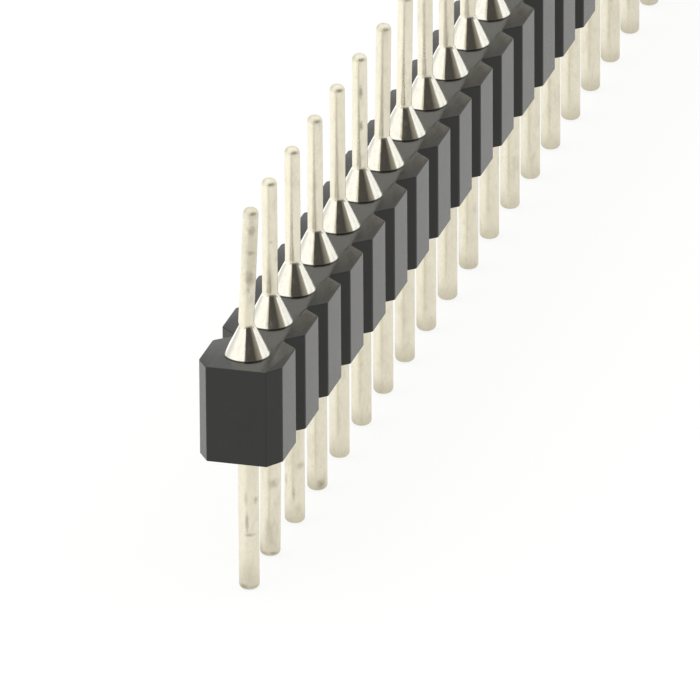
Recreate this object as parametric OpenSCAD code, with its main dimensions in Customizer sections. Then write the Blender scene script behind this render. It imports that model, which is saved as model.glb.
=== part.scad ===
// Single-row round-pin header: one moulded break-away strip that carries a row of turned pins.
// X runs along the strip, Y across it and Z up. The origin is the middle of the strip's underside,
// the plane that sits on a circuit board. Lengths are in millimetres and angles in degrees.

/* [Strip] */
// Number of pin positions
positions = 40; // [2:1:50]
// Distance from one pin to the next
pitch = 2.54; // [2.2:0.01:3.2]

/* [Housing] */
// Width of the strip across its flat sides
housing_w = 2.57; // [2.2:0.01:3.4]
// Height of the strip
housing_h = 3.05; // [2:0.05:5]
// Width of a break-off notch where it opens in the flat side
notch_w = 1.04; // [0.5:0.01:1.2]
// Width of the flat at the root of a break-off notch
notch_root_w = 0.15; // [0.05:0.01:0.3]
// Depth of a break-off notch, measured in from the flat side
notch_depth = 0.5; // [0.1:0.01:0.6]
// Length along the strip of the chamfers at its two ends
end_chamfer_run = 0.53; // [0.2:0.01:0.6]
// Depth of those chamfers, measured in from the flat side
end_chamfer_depth = 0.36; // [0.1:0.01:0.6]

/* [Contact] */
// Diameter of the thin contact above the housing
contact_d = 0.47; // [0.3:0.01:0.6]
// Height of the contact's tip above the housing
contact_h = 4.62; // [2.5:0.01:9]
// Radius of the rounded edge at the contact's tip
contact_round = 0.2; // [0.05:0.01:0.21]
// Diameter of the conical shoulder where it sits on the housing
shoulder_d = 1.37; // [1.2:0.01:1.6]
// Height of the shoulder, from the housing to the contact
shoulder_h = 0.93; // [0.4:0.01:1.6]
// Height of the straight rim at the foot of the shoulder
rim_h = 0.05; // [0.02:0.01:0.15]

/* [Barrel] */
// Diameter of the barrel inside the housing
barrel_d = 0.94; // [0.75:0.01:0.97]
// Distance from the housing's underside up to the barrel's lower end
barrel_recess = 0.1; // [0.05:0.01:0.3]
// Diameter of the retaining barb on the barrel
barb_d = 1.02; // [0.98:0.01:1.1]
// Height of the barb's taper
barb_h = 0.4; // [0.2:0.05:0.7]
// Distance from the housing's top down to the barb's sharp upper edge
barb_drop = 0.9; // [0.4:0.05:1.2]
// Gap between the barb and the wall of its bore
barb_clearance = 0.01; // [0.005:0.005:0.03]

/* [Tail] */
// Diameter of the solder tail below the housing
tail_d = 0.62; // [0.4:0.01:0.7]
// Length of the tail below the housing
tail_l = 4.53; // [2.5:0.01:9]
// Radius of the rounded edge at the tail's end
tail_round = 0.15; // [0.05:0.01:0.19]

/* [Bent pins] */
// Sideways lean of the first contact, towards -Y
first_contact_lean = 2.8; // [0:0.1:4]
// Height above the housing of the point about which the first contact leans
first_bend_h = 1.55; // [0.4:0.05:2]
// How much further the first contact stands up than the others
first_contact_extra = 0.1; // [0:0.01:0.3]
// Sideways lean of the seventh and eighth contacts, towards -Y
far_contact_lean = 1; // [0:0.1:4]
// Sideways lean of the second tail, towards +Y
second_tail_lean = 0.8; // [0:0.1:3]

/* [Hidden] */
$fn = 64;

bore_d = barb_d + 2 * barb_clearance;
// A rounded edge takes up at most this share of its rod's radius
most_round = 0.9;
strip_l = positions * pitch;
barrel_l = housing_h - barrel_recess;

// A contact leans about a point on its axis, by default in the middle of its shoulder, and a tail about the
// barrel's lower end
tail_bend_z = barrel_recess;
// [position, lean of the contact, lean of the tail, height of the contact's bend, extra length of the contact]
plain_pin = [0, 0, 0, shoulder_h / 2, 0];
bent_pins = [
    [1, first_contact_lean, 0, first_bend_h, first_contact_extra],
    [2, 0, second_tail_lean, shoulder_h / 2, 0],
    [7, far_contact_lean, 0, shoulder_h / 2, 0],
    [8, far_contact_lean, 0, shoulder_h / 2, 0],
];

function pin_name(i) = str("pin_", i < 10 ? "0" : "", i);
function pin_x(i) = (i - (positions + 1) / 2) * pitch;
// The row of bent_pins for position i, or plain_pin
function shape_of(i) = let (rows = [for (row = bent_pins) if (row[0] == i) row]) len(rows) ? rows[0] : plain_pin;

// A break-off notch in plan, cut into the +Y side at x = 0. Its cutter runs on past the flat side.
module notch_plan() {
    root = housing_w / 2 - notch_depth;
    outside = housing_w / 2 + notch_depth;
    polygon([
        [notch_root_w / 2, root], [notch_w - notch_root_w / 2, outside],
        [notch_root_w / 2 - notch_w, outside], [-notch_root_w / 2, root],
    ]);
}

// The chamfer in plan between an end face at x = 0 and the +Y side. Its cutter runs on past both faces.
module end_chamfer_plan() {
    outside = housing_w / 2 + end_chamfer_depth;
    polygon([
        [end_chamfer_run, outside - 3 * end_chamfer_depth],
        [end_chamfer_run, outside],
        [-2 * end_chamfer_run, outside],
    ]);
}

// The strip in plan: a straight bar with a pair of notches at every break-off line and four end chamfers
module housing_plan() {
    difference() {
        square([strip_l, housing_w], center = true);
        for (i = [1 : positions - 1], side = [0, 1])
            translate([pin_x(i + 0.5), 0]) mirror([0, side]) notch_plan();
        for (end = [0, 1], side = [0, 1])
            mirror([end, 0]) mirror([0, side]) translate([strip_l / 2, 0]) end_chamfer_plan();
    }
}

module housing() {
    color([0.13, 0.13, 0.14])
        linear_extrude(housing_h)
            difference() {
                housing_plan();
                for (i = [1 : positions]) translate([pin_x(i), 0]) circle(d = bore_d);
            }
}

// Half section of the shoulder and the barrel, from the housing's top at y = 0
module body_section() {
    square_down(barrel_d / 2, barrel_l);
    square([shoulder_d / 2, rim_h]);
    polygon([[0, rim_h], [shoulder_d / 2, rim_h], [contact_d / 2, shoulder_h], [0, shoulder_h]]);
    polygon([
        [0, -barb_drop], [barb_d / 2, -barb_drop],
        [barrel_d / 2, -barb_drop - barb_h], [0, -barb_drop - barb_h],
    ]);
}

module square_down(radius, length) {
    translate([0, -length]) square([radius, length]);
}

// Half section of the contact, from y = 0 up to its tip, whose edge is rounded
module contact_section(length) {
    radius = contact_d / 2;
    edge = min(contact_round, most_round * radius);
    square([radius, length - edge]);
    square([radius - edge, length]);
    translate([radius - edge, length - edge])
        intersection() {
            circle(r = edge);
            square(edge);
        }
}

// Half section of the tail, down to its end, whose edge is rounded. Its rod starts inside the barrel, a radius
// above y = 0.
module tail_section(length) {
    radius = tail_d / 2;
    edge = min(tail_round, most_round * radius);
    translate([0, radius]) square_down(radius, radius + length - edge);
    square_down(radius - edge, length);
    translate([radius - edge, edge - length])
        intersection() {
            circle(r = edge);
            square_down(edge, edge);
        }
}

module turned() {
    rotate_extrude() children();
}

// The contact's rod starts in the middle of the shoulder, whatever the height that it leans about
module pin(i) {
    shape = shape_of(i);
    foot = shoulder_h / 2;
    color([0.86, 0.83, 0.74])
        translate([pin_x(i), 0, 0]) {
            translate([0, 0, housing_h]) turned() body_section();
            translate([0, 0, housing_h + shape[3]])
                rotate([shape[1], 0, 0]) translate([0, 0, foot - shape[3]])
                    turned() contact_section(contact_h + shape[4] - foot);
            translate([0, 0, tail_bend_z])
                rotate([shape[2], 0, 0]) turned() tail_section(tail_bend_z + tail_l);
        }
}

housing();
for (i = [1 : positions])
    pin(i);
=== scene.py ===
"""Looks of the single-row round pin header: a black break-away strip with forty tin-plated turned pins."""

import math

import bpy
from mathutils import Matrix, Vector
from mathutils.geometry import tessellate_polygon


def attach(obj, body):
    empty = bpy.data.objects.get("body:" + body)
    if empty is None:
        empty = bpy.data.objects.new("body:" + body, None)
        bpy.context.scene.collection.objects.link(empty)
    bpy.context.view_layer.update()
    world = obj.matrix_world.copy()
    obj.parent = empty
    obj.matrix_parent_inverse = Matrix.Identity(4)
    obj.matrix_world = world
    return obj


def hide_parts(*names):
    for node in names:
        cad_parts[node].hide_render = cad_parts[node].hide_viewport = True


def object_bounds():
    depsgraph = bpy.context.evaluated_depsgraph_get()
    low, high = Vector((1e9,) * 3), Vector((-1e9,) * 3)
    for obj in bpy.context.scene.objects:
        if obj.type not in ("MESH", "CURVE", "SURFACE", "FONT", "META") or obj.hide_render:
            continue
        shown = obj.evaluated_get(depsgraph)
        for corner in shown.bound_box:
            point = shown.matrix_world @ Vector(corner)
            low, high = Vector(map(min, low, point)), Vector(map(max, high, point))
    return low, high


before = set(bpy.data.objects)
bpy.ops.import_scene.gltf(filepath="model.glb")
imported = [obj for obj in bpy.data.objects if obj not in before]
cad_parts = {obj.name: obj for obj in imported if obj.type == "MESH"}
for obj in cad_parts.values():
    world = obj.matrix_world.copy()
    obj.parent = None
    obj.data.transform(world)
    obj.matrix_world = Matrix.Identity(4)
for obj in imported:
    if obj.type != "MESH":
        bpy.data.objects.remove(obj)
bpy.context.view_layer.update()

MM = 0.001                  # every size below is in millimetres, and Blender works in metres

# Sizes of the CAD part, which the visible pieces follow
POSITIONS = 40
PITCH = 2.54
HOUSING_W = 2.57
HOUSING_H = 3.05
NOTCH_W = 1.04
NOTCH_ROOT_W = 0.15
NOTCH_DEPTH = 0.5
END_CHAMFER_RUN = 0.53
END_CHAMFER_DEPTH = 0.36
BORE_R = 0.52
CONTACT_R = 0.235
CONTACT_H = 4.62
CONTACT_ROUND = 0.2
SHOULDER_R = 0.685
SHOULDER_H = 0.93
RIM_H = 0.05
BARREL_R = 0.47
BARREL_RECESS = 0.1
BARB_R = 0.51
BARB_H = 0.4
BARB_DROP = 0.9
TAIL_R = 0.31
TAIL_L = 4.53
TAIL_ROUND = 0.15
CONTACT_LEANS = {1: 2.8, 7: 1.0, 8: 1.0}      # degrees, towards -Y
CONTACT_BENDS = {1: 1.55}                     # height that a contact leans about, where it isn't mid-shoulder
CONTACT_EXTRA = {1: 0.1}                      # how much further a contact stands up
TAIL_LEANS = {2: 0.8}                         # degrees, towards +Y

# The side of the pins that the stains' turns count from, in degrees counter-clockwise from +X
STAINED_SIDE = 195
# Stains on the pins, rounded and compared with the photo: position, degrees round the pin
# towards -Y, height above the board, half width, half height, strength
STAINS = [
    (1, 20, 6.3, 0.3, 1.4, 0.3),
    (1, 10, 7.1, 0.15, 0.2, 0.55),
    (1, 10, 6.4, 0.15, 0.1, 0.6),
    (1, 10, 5.6, 0.15, 0.3, 0.6),
    (1, 5, 5.2, 0.05, 0.1, 0.5),
    (1, 35, 4.9, 0.1, 0.2, 0.3),
    (2, 10, 5.7, 0.05, 0.05, 0.35),
    (2, 0, 4.4, 0.1, 0.45, 0.35),
    (2, 65, 5.1, 0.05, 0.1, 0.3),
    (6, 10, 6.5, 0.05, 0.2, 0.65),
    (6, 10, 5.4, 0.05, 0.15, 0.7),
    (1, 45, -1.6, 0.05, 0.1, 0.45),
    (1, -15, -1.5, 0.05, 0.2, 0.3),
    (1, -10, -2.3, 0.05, 0.3, 0.5),
    (1, 5, -2.7, 0.15, 0.05, 0.45),
    (1, -5, -4.0, 0.25, 0.4, 0.2),
    (1, -30, -4.4, 0.15, 0.1, 0.5),
    (1, 15, -4.4, 0.2, 0.05, 0.3),
    (2, 15, -2.1, 0.15, 0.15, 0.4),
    (2, 0, -3.8, 0.15, 0.3, 0.2),
    (2, 15, -4.4, 0.1, 0.05, 0.55),
    (2, -40, -4.4, 0.15, 0.05, 0.35),
    (3, 35, -2.6, 0.1, 0.1, 0.3),
    (3, -55, -3.1, 0.05, 0.2, 0.35),
    (3, -5, -3.5, 0.05, 0.2, 0.35),
    (3, 20, -4.0, 0.1, 0.15, 0.2),
    (4, 20, -4.3, 0.1, 0.15, 0.5),
]

# Finish of the moulding's and the pins' edges
CORNER_R = 0.13             # upright outer corners of the strip
NOTCH_ROOT_R = 0.04         # inner corners of a break-off notch
END_CORNER_R = 0.05
EDGE_R = 0.03               # edges round the top and the underside
TURNED_EDGE_R = 0.012       # edges of the turned pins

# How finely the meshes are divided
AROUND = 48                 # sides of a turned pin and of a bore
EDGE_STEPS = 3              # steps of the rounds along the top and the underside
CORNER_STEPS = 4            # steps of an upright corner
TAIL_END_STEPS = 8
TIP_STEPS = 10
RIM_STEPS = 3
SHOULDER_RINGS = 8
RING_STEP = 0.12            # distance between the rings of a straight wall
CONTACT_START = 0.1         # how far above the shoulder the contact's first ring lies, so a lean makes no fold
SHARP_HOUSING = 35          # degrees between faces from which an edge stays sharp
SHARP_PIN = 30

# Black plastic: its tones, its roughness and the depth of its mould grain
PLASTIC_DEEP = (0.018, 0.0185, 0.018, 1)
PLASTIC_PALE = (0.027, 0.027, 0.027, 1)
PLASTIC_ROUGHNESS = (0.13, 0.17)
PLASTIC_SPECULAR = 0.38
PLASTIC_GRAIN = 0.018

# Tin plate: the tones of its satin and polished parts, of the grime that dulls it, and of its darker tail ends,
# which are partly brass and partly painted shade
SATIN_LIGHT = (0.92, 0.875, 0.73, 1)
SATIN_DARK = (0.87, 0.82, 0.67, 1)
POLISHED_LIGHT = (0.96, 0.94, 0.87, 1)
POLISHED_DARK = (0.93, 0.91, 0.83, 1)
FINE_TONE = (0.56, 0.52, 0.4, 1)
FRECKLE_TONE = (0.45, 0.42, 0.31, 1)
PATCH_TONE = (0.47, 0.45, 0.35, 1)
# the tail ends' tone is partly the brass showing and partly painted shade that stands for the shaded table they
# mirror
TAIL_END_BRASS_AND_SHADE_TONE = (0.36, 0.31, 0.2, 1)
STAIN_TONE = (0.2, 0.17, 0.1, 1)
FINE_SHARE = 0.2
TAIL_END_BRASS_AND_SHADE_SHARE = 0.38
TAIL_END_BRASS_AND_SHADE_SPAN = (-4.2, -3.4)                  # heights where the tail end's brass and painted shade are full, and where they have faded
# Heights where a tip starts to turn rougher, and where it is fully so
TIP_ROUGH = (HOUSING_H + CONTACT_H - 0.24, HOUSING_H + CONTACT_H - 0.16)
TIP_ROUGHER_BY = 0.17
PATCH_ROUGHER_BY = 0.1
TIN_GRAIN = 0.006
STAIN_UNEVEN = 1.2          # how uneven a stain's edge is, as a share of its size
STAIN_FADE = 1.7            # how far out it has faded, as a share of its size
STAIN_DEEPER = 0.1          # how much further it reaches along X, which is nearly the way into the pin

# The camera, and where its image plane's middle looks
CAMERA_AT = (-458.08, -116.28, 184.975)
CAMERA_YAW = 15.476
CAMERA_PITCH = 23.174
CAMERA_ROLL = -0.371
FOCAL_PX = 15570.3
FRAME_PX = 700
SENSOR = 36.0
CLIP = (0.01, 10)           # metres

# The table: its half width, its own colour, the part of it that takes shadow, and the glow that the camera sees
FLOOR_HALF = 600.0
FLOOR_PLAIN = (0.8, 0.8, 0.8, 1)
FLOOR_SHADOW = (0.2, 0.2, 0.2, 1)
FLOOR_GLOW = (0.84, 0.84, 0.835, 1)
# The floor as the metal mirrors it: millimetres towards +Y from the strip's middle, and its light there
FLOOR_RAMP_MM = 20
FLOOR_IN_METAL = [
    (0.5, (0.73, 0.725, 0.705)),
    (2.5, (0.86, 0.86, 0.85)),
    (8, (0.87, 0.87, 0.86)),
    (13, (0.97, 0.97, 0.96)),
]
# The tent's roof: its light, and the degrees above the table between which the wall turns into it
ROOF_LIGHT = (1.12, 1.12, 1.1, 1)
ROOF_EDGE = (38, 47)
# Dim parts of the tent near the table: the degrees counter-clockwise from +X of their middle, the cosines at their
# outer and inner ends, the height in degrees where they have faded, their share and their light
HORIZON_SHADES = [
    (16, 0.74, 0.86, 9, 0.5, (0.3, 0.28, 0.25, 1)),
    (228, 0.05, 0.45, 14, 0.75, (0.2, 0.18, 0.15, 1)),
]
# The tent's wall: degrees counter-clockwise from +X, and its light there
TENT_WALL = [
    (0, (0.86, 0.86, 0.85)),
    (40, (0.84, 0.84, 0.83)),
    (60, (0.76, 0.76, 0.75)),
    (86, (0.8, 0.8, 0.79)),
    (106, (1.1, 1.085, 1.04)),
    (179, (1.1, 1.085, 1.04)),
    (184, (0.07, 0.065, 0.058)),
    (238, (0.065, 0.06, 0.054)),
    (250, (0.19, 0.178, 0.145)),
    (273, (0.33, 0.312, 0.258)),
    (280, (1.05, 1.05, 1.02)),
    (330, (1.0, 1.0, 0.98)),
    (345, (0.9, 0.9, 0.89)),
]


# ---------------------------------------------------------------- meshes

def pin_x(i):
    return (i - (POSITIONS + 1) / 2) * PITCH


def arc(cx, cy, radius, start, end, steps):
    """Points of an arc, from start to end degrees."""
    angles = [math.radians(start + (end - start) * k / steps) for k in range(steps + 1)]
    return [(cx + radius * math.cos(a), cy + radius * math.sin(a)) for a in angles]


def mesh_object(name, verts, faces, materials, face_materials=None, sharp=SHARP_HOUSING):
    """A smooth-shaded object from points in millimetres, with its sharp edges kept sharp."""
    mesh = bpy.data.meshes.new(name)
    mesh.from_pydata([(x * MM, y * MM, z * MM) for x, y, z in verts], [], faces)
    for material in materials:
        mesh.materials.append(material)
    if face_materials:
        mesh.polygons.foreach_set("material_index", face_materials)
    mesh.polygons.foreach_set("use_smooth", [True] * len(mesh.polygons))
    mesh.set_sharp_from_angle(angle=math.radians(sharp))
    mesh.update()
    thing = bpy.data.objects.new(name, mesh)
    bpy.context.scene.collection.objects.link(thing)
    return thing


def fillet(before, corner, after, radius):
    """Points of the round that replaces a corner. With even steps, the middle one lies on its bisector."""
    c = Vector(corner)
    a, b = (Vector(before) - c).normalized(), (Vector(after) - c).normalized()
    half = a.angle(b) / 2
    middle = c + (a + b).normalized() * radius / math.sin(half)
    start = c + a * radius / math.tan(half) - middle
    end = c + b * radius / math.tan(half) - middle
    sweep = start.angle_signed(end)
    turned = [start.copy() for _ in range(CORNER_STEPS + 1)]
    for k, arm in enumerate(turned):
        arm.rotate(Matrix.Rotation(-sweep * k / CORNER_STEPS, 2))
    return [tuple(middle + arm) for arm in turned]


def strip_outline():
    """The strip in plan, counter-clockwise from its left end's lower corner, and each notch root's middle point."""
    half_l, side = POSITIONS * PITCH / 2, HOUSING_W / 2
    end_y, root_y = side - END_CHAMFER_DEPTH, side - NOTCH_DEPTH
    lower = [((-half_l, -end_y), END_CORNER_R, None), ((END_CHAMFER_RUN - half_l, -side), CORNER_R, None)]
    for i in range(1, POSITIONS):
        line = pin_x(i) + PITCH / 2
        lower.append(((line - NOTCH_W / 2, -side), CORNER_R, None))
        lower.append(((line - NOTCH_ROOT_W / 2, -root_y), NOTCH_ROOT_R, None))
        lower.append(((line, -root_y), None, i))
        lower.append(((line + NOTCH_ROOT_W / 2, -root_y), NOTCH_ROOT_R, None))
        lower.append(((line + NOTCH_W / 2, -side), CORNER_R, None))
    lower += [((half_l - END_CHAMFER_RUN, -side), CORNER_R, None), ((half_l, -end_y), END_CORNER_R, None)]
    upper = [((x, -y), radius, None if i is None else -i) for (x, y), radius, i in reversed(lower)]
    corners = lower + upper
    points, roots = [], {}
    for k, (corner, radius, key) in enumerate(corners):
        if radius is None:
            roots[key] = len(points)
            points.append(corner)
        else:
            points += fillet(corners[k - 1][0], corner, corners[(k + 1) % len(corners)][0], radius)
    return points, roots


def inset(points, distance):
    """The outline moved inwards, with mitred corners."""
    moved = []
    for k, p in enumerate(points):
        p = Vector(p)
        into = (p - Vector(points[k - 1])).normalized()
        out = (Vector(points[(k + 1) % len(points)]) - p).normalized()
        normal = (Vector((-into.y, into.x)) + Vector((-out.y, out.x))).normalized()
        miter = max(0.5, normal.dot(Vector((-out.y, out.x))))
        moved.append(tuple(p + normal * distance / miter))
    return moved


def wall_levels():
    """(inset, height) of the outer wall's rings, from the underside's face up to the top's face."""
    angles = [math.radians(90 * k / EDGE_STEPS) for k in range(EDGE_STEPS + 1)]
    lower = [(EDGE_R * (1 - math.sin(a)), EDGE_R * (1 - math.cos(a))) for a in angles]
    upper = [(EDGE_R * (1 - math.cos(a)), HOUSING_H - EDGE_R * (1 - math.sin(a))) for a in angles]
    return lower + upper


def pierced_faces(verts, ring, hole, upwards):
    """Triangles between a cell's outline and its bore, facing up or down."""
    index = ring + hole
    faces = []
    for triangle in tessellate_polygon([[Vector(verts[k]) for k in ring], [Vector(verts[k]) for k in hole]]):
        a, b, c = (index[t] for t in triangle)
        normal = (Vector(verts[b]) - Vector(verts[a])).cross(Vector(verts[c]) - Vector(verts[a])).z
        faces.append((a, b, c) if (normal > 0) == upwards else (a, c, b))
    return faces


def make_housing(materials):
    """The moulded strip: walls with rounded edges all round, a pierced top and underside, and forty bores."""
    outline, roots = strip_outline()
    count = len(outline)
    verts, faces = [], []
    levels = wall_levels()
    for distance, z in levels:
        verts += [(x, y, z) for x, y in inset(outline, distance)]
    for level in range(len(levels) - 1):
        low, high = level * count, (level + 1) * count
        for k in range(count):
            n = (k + 1) % count
            faces.append((low + k, low + n, high + n, high + k))
    # the top and the underside, one position at a time round its bore
    top_level = (len(levels) - 1) * count
    for i in range(1, POSITIONS + 1):
        first = len(verts)
        circle = [(pin_x(i) + x, y) for x, y in arc(0, 0, BORE_R, 0, 360, AROUND)[:-1]]
        verts += [(x, y, 0) for x, y in circle] + [(x, y, HOUSING_H) for x, y in circle]
        for k in range(AROUND):
            n = (k + 1) % AROUND
            faces.append((first + k, first + AROUND + k, first + AROUND + n, first + n))
        lower = list(range(roots.get(i - 1, 0), roots.get(i, roots_end(outline)) + 1))
        upper = list(range(roots.get(-i, roots_end(outline) + 1), roots.get(1 - i, count - 1) + 1))
        for base, hole_start, upwards in ((top_level, first + AROUND, True), (0, first, False)):
            ring = [base + k for k in lower + upper]
            faces += pierced_faces(verts, ring, [hole_start + k for k in range(AROUND)], upwards)
    strip = mesh_object("housing_strip", verts, faces, materials)
    strip.modifiers.new("flat_faces", "WEIGHTED_NORMAL").keep_sharp = True
    return strip


def roots_end(outline):
    """Index of the last point of the outline's lower side, at the strip's right end."""
    return len(outline) // 2 - 1


def column(radius, start, end, step):
    """Points up or down a straight wall, without its last one."""
    count = max(1, round(abs(end - start) / step))
    return [(radius, start + (end - start) * k / count) for k in range(count)]


def pin_profile(i):
    """(radius, height, part) from the tail's end to the tip: part 0 tail and barrel, 1 shoulder, 2 contact."""
    e = TURNED_EDGE_R
    top = HOUSING_H
    plain = [(0, -TAIL_L)]
    plain += arc(TAIL_R - TAIL_ROUND, TAIL_ROUND - TAIL_L, TAIL_ROUND, -90, 0, TAIL_END_STEPS)[:-1]
    plain += column(TAIL_R, TAIL_ROUND - TAIL_L, BARREL_RECESS, RING_STEP)
    plain += [(TAIL_R, BARREL_RECESS), (BARREL_R - e, BARREL_RECESS), (BARREL_R, BARREL_RECESS + e)]
    barb_top = top - BARB_DROP
    plain += [(BARREL_R, barb_top - BARB_H), (BARB_R, barb_top - e), (BARREL_R, barb_top), (BARREL_R, top)]
    slope = math.degrees(math.atan2(SHOULDER_H - RIM_H, SHOULDER_R - CONTACT_R))
    shoulder = [(SHOULDER_R - e, top), (SHOULDER_R, top + e)]
    shoulder += arc(SHOULDER_R - e, top + RIM_H - e, e, 0, 90 - slope, RIM_STEPS)
    last_r, last_z = shoulder[-1]
    for k in range(1, SHOULDER_RINGS + 1):
        r = last_r + (CONTACT_R - last_r) * k / SHOULDER_RINGS
        shoulder.append((r, last_z + (top + SHOULDER_H - last_z) * k / SHOULDER_RINGS))
    tip = top + CONTACT_H + CONTACT_EXTRA.get(i, 0)
    contact = column(CONTACT_R, top + SHOULDER_H + CONTACT_START, tip - CONTACT_ROUND, RING_STEP)
    contact += arc(CONTACT_R - CONTACT_ROUND, tip - CONTACT_ROUND, CONTACT_ROUND, 0, 90, TIP_STEPS)
    contact += [((CONTACT_R - CONTACT_ROUND) / 2, tip), (0, tip)]
    return [(r, z, 0) for r, z in plain] + [(r, z, 1) for r, z in shoulder] + [(r, z, 2) for r, z in contact]


def leaned(point, i, part):
    """A pin's point with the lean of its contact or its tail."""
    x, y, z = point
    if part == 2 and i in CONTACT_LEANS:
        angle, pivot = math.radians(CONTACT_LEANS[i]), HOUSING_H + CONTACT_BENDS.get(i, SHOULDER_H / 2)
    elif z < BARREL_RECESS and i in TAIL_LEANS:
        angle, pivot = math.radians(TAIL_LEANS[i]), BARREL_RECESS
    else:
        return point
    return (x, y * math.cos(angle) - (z - pivot) * math.sin(angle),
            pivot + y * math.sin(angle) + (z - pivot) * math.cos(angle))


def make_pin(i, materials):
    """One turned pin, with the same lean as its CAD node."""
    profile = pin_profile(i)
    verts, faces, kinds = [leaned((0, 0, profile[0][1]), i, 0)], [], []
    for r, z, part in profile[1:-1]:
        for x, y in arc(0, 0, r, 0, 360, AROUND)[:-1]:
            verts.append(leaned((x, y, z), i, part))
    verts.append(leaned((0, 0, profile[-1][1]), i, 2))
    verts = [(x + pin_x(i), y, z) for x, y, z in verts]
    rings = len(profile) - 2
    last = len(verts) - 1
    for k in range(AROUND):
        n = (k + 1) % AROUND
        faces.append((0, 1 + n, 1 + k))
        kinds.append(0)
        for ring in range(rings - 1):
            low, high = 1 + ring * AROUND, 1 + (ring + 1) * AROUND
            faces.append((low + k, low + n, high + n, high + k))
            kinds.append(int(profile[ring + 1][2] == 1 and profile[ring + 2][2] == 1))
        faces.append((last - AROUND + k, last - AROUND + n, last))
        kinds.append(0)
    return mesh_object(f"turned_pin_{i:02d}", verts, faces, materials, kinds, sharp=SHARP_PIN)


# ---------------------------------------------------------------- materials

class Graph:
    """A short way to build a node tree."""

    def __init__(self, tree):
        self.tree = tree
        tree.nodes.clear()

    def add(self, kind, inputs=None, **settings):
        node = self.tree.nodes.new(kind)
        for key, value in settings.items():
            setattr(node, key, value)
        for key, value in (inputs or {}).items():
            if isinstance(value, bpy.types.NodeSocket):
                self.tree.links.new(value, node.inputs[key])
            else:
                node.inputs[key].default_value = value
        return node

    def math(self, operation, a, b=0.0, c=0.0, clamp=False):
        node = self.add("ShaderNodeMath", {0: a, 1: b, 2: c}, operation=operation, use_clamp=clamp)
        return node.outputs[0]

    def vector(self, operation, a, b=(0.0, 0.0, 0.0)):
        node = self.add("ShaderNodeVectorMath", {0: a, 1: b}, operation=operation)
        return node.outputs["Value" if operation in ("LENGTH", "DISTANCE", "DOT_PRODUCT") else "Vector"]

    def mix(self, factor, a, b):
        node = self.add("ShaderNodeMix", {0: factor, 6: a, 7: b}, data_type="RGBA")
        return node.outputs[2]

    def range(self, value, from_min, from_max, to_min=0.0, to_max=1.0):
        node = self.add("ShaderNodeMapRange", {
            "Value": value, "From Min": from_min, "From Max": from_max, "To Min": to_min, "To Max": to_max,
        }, interpolation_type="SMOOTHSTEP")
        return node.outputs[0]

    def noise(self, vector, scale, detail=2.0, roughness=0.5):
        node = self.add("ShaderNodeTexNoise", {
            "Vector": vector, "Scale": scale, "Detail": detail, "Roughness": roughness,
        })
        return node.outputs[0]

    def place_mm(self):
        """Where a point is on the part, in millimetres."""
        return self.vector("MULTIPLY", self.add("ShaderNodeTexCoord").outputs["Object"], (1 / MM,) * 3)

    def surface(self, shader):
        self.add("ShaderNodeOutputMaterial", {"Surface": shader.outputs[0]})


def new_material(name):
    material = bpy.data.materials.new(name)
    material.use_nodes = True
    return material, Graph(material.node_tree)


def black_plastic():
    """Black moulded plastic with a fine mould grain and a faint cloudy tone."""
    material, g = new_material("black_plastic")
    place = g.place_mm()
    cloud = g.noise(place, 1.1, 4.0)
    grain = g.noise(place, 14.0, 3.0, 0.6)
    base = g.mix(cloud, PLASTIC_DEEP, PLASTIC_PALE)
    rough = g.range(cloud, 0.3, 0.7, *PLASTIC_ROUGHNESS)
    bump = g.add("ShaderNodeBump", {"Height": grain, "Strength": 0.4, "Distance": PLASTIC_GRAIN * MM})
    g.surface(g.add("ShaderNodeBsdfPrincipled", {
        "Base Color": base, "Roughness": rough, "Normal": bump.outputs[0],
        "Specular IOR Level": PLASTIC_SPECULAR,
    }))
    return material


def stain_place(i, turn, z):
    """The middle of a stain on a pin's wall."""
    radius, part = (TAIL_R, 0) if z < 0 else (CONTACT_R, 2)
    angle = math.radians(STAINED_SIDE + turn)
    x, y, z = leaned((radius * math.cos(angle), radius * math.sin(angle), z), i, part)
    return (pin_x(i) + x, y, z)


def stain_mask(g, place):
    """How stained a point of the pins is: soft patches with uneven edges at the places in STAINS."""
    uneven = g.math("MULTIPLY_ADD", g.noise(place, 9.0, 4.0, 0.6), STAIN_UNEVEN, -STAIN_UNEVEN / 2)
    mask = 0.0
    for i, turn, z, half_w, half_h, strength in STAINS:
        away = g.vector("SUBTRACT", place, stain_place(i, turn, z))
        away = g.vector("MULTIPLY", away, (1 / (half_w + STAIN_DEEPER), 1 / half_w, 1 / half_h))
        reach = g.math("ADD", g.vector("LENGTH", away), uneven)
        mask = g.math("MAXIMUM", mask, g.range(reach, 0.0, STAIN_FADE, strength, 0.0))
    return mask


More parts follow.
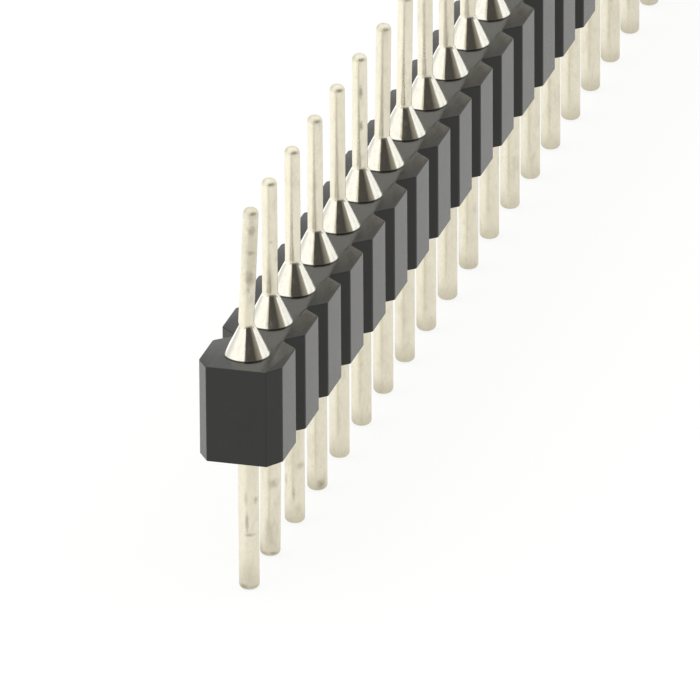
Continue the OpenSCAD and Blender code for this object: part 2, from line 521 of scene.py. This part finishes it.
def tin_plate(name, light, dark, roughness, grime, stained):
    """Tin plating with faint grime, tail ends darkened partly by brass and partly by painted shade, and with
    grey-olive handling stains if stained.
    """
    material, g = new_material(name)
    place = g.place_mm()
    height = g.add("ShaderNodeSeparateXYZ", {0: place}).outputs[2]
    tall = g.vector("MULTIPLY", place, (1.0, 1.0, 0.4))
    rings = g.noise(g.vector("MULTIPLY", place, (0.6, 0.6, 22.0)), 1.0, 2.0)
    cloud = g.noise(tall, 1.4, 4.0, 0.55)
    patch = g.range(g.noise(tall, 3.1, 4.0, 0.65), 0.5, 0.75)
    fine = g.noise(tall, 9.0, 4.0, 0.6)
    freckle = g.range(g.noise(place, 12.0, 3.0, 0.55), 0.58, 0.75)
    # painted shade: the tail ends darken towards the table, partly as brass and partly as a painted mirror image of
    # the shaded table
    tail_end_brass_and_shade = g.range(g.math("ADD", height, g.math("MULTIPLY", cloud, 0.8)), *TAIL_END_BRASS_AND_SHADE_SPAN, 1.0, 0.0)
    base = g.mix(cloud, light, dark)
    base = g.mix(g.math("MULTIPLY", g.range(fine, 0.4, 0.75), FINE_SHARE), base, FINE_TONE)
    base = g.mix(g.math("MULTIPLY", freckle, grime), base, FRECKLE_TONE)
    base = g.mix(g.math("MULTIPLY", patch, grime), base, PATCH_TONE)
    base = g.mix(g.math("MULTIPLY", tail_end_brass_and_shade, TAIL_END_BRASS_AND_SHADE_SHARE), base, TAIL_END_BRASS_AND_SHADE_TONE)
    if stained:
        base = g.mix(stain_mask(g, place), base, STAIN_TONE)
    rough = g.range(cloud, 0.3, 0.7, roughness * 0.85, roughness * 1.2)
    rough = g.math("MULTIPLY_ADD", patch, PATCH_ROUGHER_BY, rough)
    rough = g.math("MULTIPLY_ADD", g.range(height, *TIP_ROUGH), TIP_ROUGHER_BY, rough)
    height_map = g.math("MULTIPLY_ADD", rings, 0.5, fine)
    bump = g.add("ShaderNodeBump", {"Height": height_map, "Strength": 0.2, "Distance": TIN_GRAIN * MM})
    g.surface(g.add("ShaderNodeBsdfPrincipled", {
        "Base Color": base, "Metallic": 1.0, "Roughness": rough, "Normal": bump.outputs[0],
    }))
    return material


# ---------------------------------------------------------------- studio

def make_floor():
    """A white table that keeps the part's soft shadow. In the metal it is bright beyond the strip's +Y side."""
    half, z = FLOOR_HALF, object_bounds()[0][2] / MM
    material, g = new_material("studio_white")
    path = g.add("ShaderNodeLightPath").outputs
    seen = g.math("MAXIMUM", g.math("MAXIMUM", path["Is Camera Ray"], path["Is Glossy Ray"]),
                  path["Is Transmission Ray"])
    plain = g.add("ShaderNodeBsdfDiffuse", {"Color": FLOOR_PLAIN})
    shadow = g.add("ShaderNodeBsdfDiffuse", {"Color": FLOOR_SHADOW})
    across = g.add("ShaderNodeSeparateXYZ", {0: g.place_mm()}).outputs[1]
    mirrored = g.add("ShaderNodeValToRGB", {0: g.math("DIVIDE", across, FLOOR_RAMP_MM)})
    set_ramp(mirrored.color_ramp, FLOOR_IN_METAL, FLOOR_RAMP_MM)
    colour = g.mix(path["Is Glossy Ray"], FLOOR_GLOW, mirrored.outputs[0])
    glow = g.add("ShaderNodeEmission", {"Color": colour, "Strength": 1.0})
    bright = g.add("ShaderNodeAddShader", {0: shadow.outputs[0], 1: glow.outputs[0]})
    g.surface(g.add("ShaderNodeMixShader", {0: seen, 1: plain.outputs[0], 2: bright.outputs[0]}))
    corners = [(-half, -half, z), (half, -half, z), (half, half, z), (-half, half, z)]
    floor = mesh_object("studio_floor", corners, [(0, 1, 2, 3)], [material])


def make_world():
    """A white light tent, open towards the place where the photographer stands."""
    world = bpy.data.worlds.new("light_tent")
    bpy.context.scene.world = world
    world.use_nodes = True
    g = Graph(world.node_tree)
    way = g.add("ShaderNodeTexCoord").outputs["Generated"]
    x, y, z = g.add("ShaderNodeSeparateXYZ", {0: way}).outputs
    turn = g.math("DIVIDE", g.math("ARCTAN2", y, x), 2 * math.pi)
    turn = g.math("FRACT", g.math("ADD", turn, 1.0))
    ramp = g.add("ShaderNodeValToRGB", {0: turn})
    set_ramp(ramp.color_ramp, TENT_WALL, 360)
    high = g.range(z, *(math.sin(math.radians(edge)) for edge in ROOF_EDGE))
    light = g.mix(high, ramp.outputs[0], ROOF_LIGHT)
    for azimuth, least, most, top, share, shade in HORIZON_SHADES:
        angle = math.radians(azimuth)
        facing = g.vector("DOT_PRODUCT", way, (math.cos(angle), math.sin(angle), 0))
        near = g.range(facing, least, most, 0.0, share)
        low = g.range(z, math.sin(math.radians(top / 3)), math.sin(math.radians(top)), 1.0, 0.0)
        light = g.mix(g.math("MULTIPLY", low, near), light, shade)
    path = g.add("ShaderNodeLightPath").outputs
    light = g.mix(path["Is Camera Ray"], light, (1, 1, 1, 1))
    background = g.add("ShaderNodeBackground", {"Color": light, "Strength": 1.0})
    g.add("ShaderNodeOutputWorld", {"Surface": background.outputs[0]})


def set_ramp(ramp, stops, full):
    """Fills a colour ramp from its stops, where a place is a share of full."""
    while len(ramp.elements) > 1:
        ramp.elements.remove(ramp.elements[-1])
    ramp.elements[0].position = stops[0][0] / full
    ramp.elements[0].color = (*stops[0][1], 1)
    for place, colour in stops[1:]:
        ramp.elements.new(place / full).color = (*colour, 1)


def make_camera():
    yaw, pitch, roll = (math.radians(a) for a in (CAMERA_YAW, CAMERA_PITCH, CAMERA_ROLL))
    forward = Vector((math.cos(yaw) * math.cos(pitch), math.sin(yaw) * math.cos(pitch), -math.sin(pitch)))
    right = forward.cross(Vector((0, 0, 1))).normalized()
    up = right.cross(forward)
    right, up = (math.cos(roll) * right + math.sin(roll) * up, -math.sin(roll) * right + math.cos(roll) * up)
    data = bpy.data.cameras.new("camera")
    data.sensor_width = SENSOR
    data.lens = FOCAL_PX / FRAME_PX * SENSOR
    data.clip_start, data.clip_end = CLIP
    camera = bpy.data.objects.new("camera", data)
    turn = Matrix((right, up, -forward)).transposed().to_4x4()
    camera.matrix_world = Matrix.Translation(Vector(CAMERA_AT) * MM) @ turn
    bpy.context.scene.collection.objects.link(camera)
    bpy.context.scene.camera = camera


# ---------------------------------------------------------------- the scene

make_camera()
plastic = black_plastic()
satin = tin_plate("tin_satin", SATIN_LIGHT, SATIN_DARK, roughness=0.29, grime=0.22, stained=True)
polished = tin_plate("tin_polished", POLISHED_LIGHT, POLISHED_DARK, roughness=0.11, grime=0.06, stained=False)

housing = make_housing([plastic])
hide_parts("housing")
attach(housing, "root")
for i in range(1, POSITIONS + 1):
    pin = make_pin(i, [satin, polished])
    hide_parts(f"pin_{i:02d}")
    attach(pin, "root")

make_floor()
make_world()
bpy.context.scene.view_settings.view_transform = "Standard"
